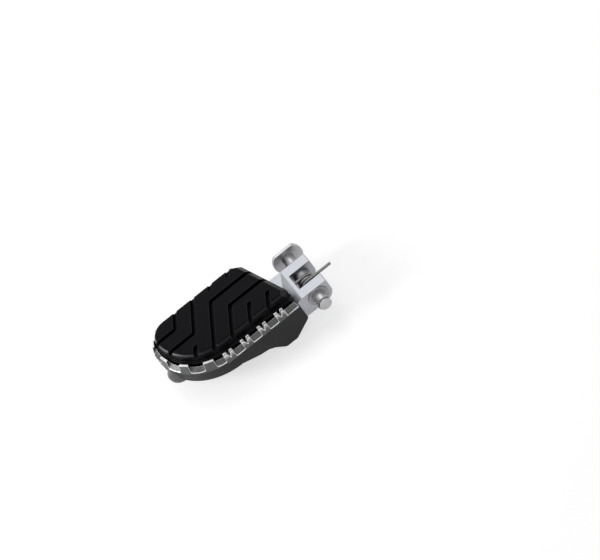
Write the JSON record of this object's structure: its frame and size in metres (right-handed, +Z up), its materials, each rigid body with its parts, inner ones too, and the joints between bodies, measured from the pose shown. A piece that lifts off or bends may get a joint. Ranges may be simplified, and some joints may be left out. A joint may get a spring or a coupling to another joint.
{
  "type": "folding footpeg",
  "caption": "Folding motorbike footpeg: toothed cast platform with a chevron rubber tread, bolted to a forked hinge block that swings on a headed pin against a return spring.",
  "frame": {"origin": "on the hinge pin's axis, midway between the two arms of the hinge block", "axes": "+X forward along the pin towards its head, +Y outward along the peg, +Z up"},
  "size_m": [0.0719, 0.1322, 0.0353],
  "materials": {
    "cast_aluminium": "blasted casting, satin",
    "machined_aluminium": "fine milled",
    "tread_rubber": "moulded, satin",
    "pin_steel": "ground, zinc plated",
    "spring_steel": "bright drawn wire",
    "bush_steel": "satin",
    "fastener_steel": "zinc plated"
  },
  "bodies": {
    "hinge": {"hinge_pin": "pin_steel", "pin_clip": "spring_steel", "spring_sleeve": "pin_steel", "return_spring": "spring_steel"},
    "peg": {"hinge_block": "machined_aluminium", "front_bush": "bush_steel", "rear_bush": "bush_steel", "peg_platform": "cast_aluminium", "tread_pad": "tread_rubber", "block_screw_inner": "fastener_steel", "block_screw_outer": "fastener_steel", "block_washer_inner": "fastener_steel", "block_washer_outer": "fastener_steel", "pad_screw_root": "fastener_steel", "pad_screw_rear": "fastener_steel", "pad_screw_tip": "fastener_steel", "pad_washer_root": "fastener_steel", "pad_washer_rear": "fastener_steel", "pad_washer_tip": "fastener_steel"}
  },
  "joints": [
    {"name": "fold", "type": "hinge", "parent": "hinge", "child": "peg", "pos_m": [0, 0, 0], "axis": [1, 0, 0], "range_deg": [0, 75], "stiffness_Nm_per_rad": 0.25, "springref_deg": -45.84, "deforming": ["return_spring"]}
  ]
}
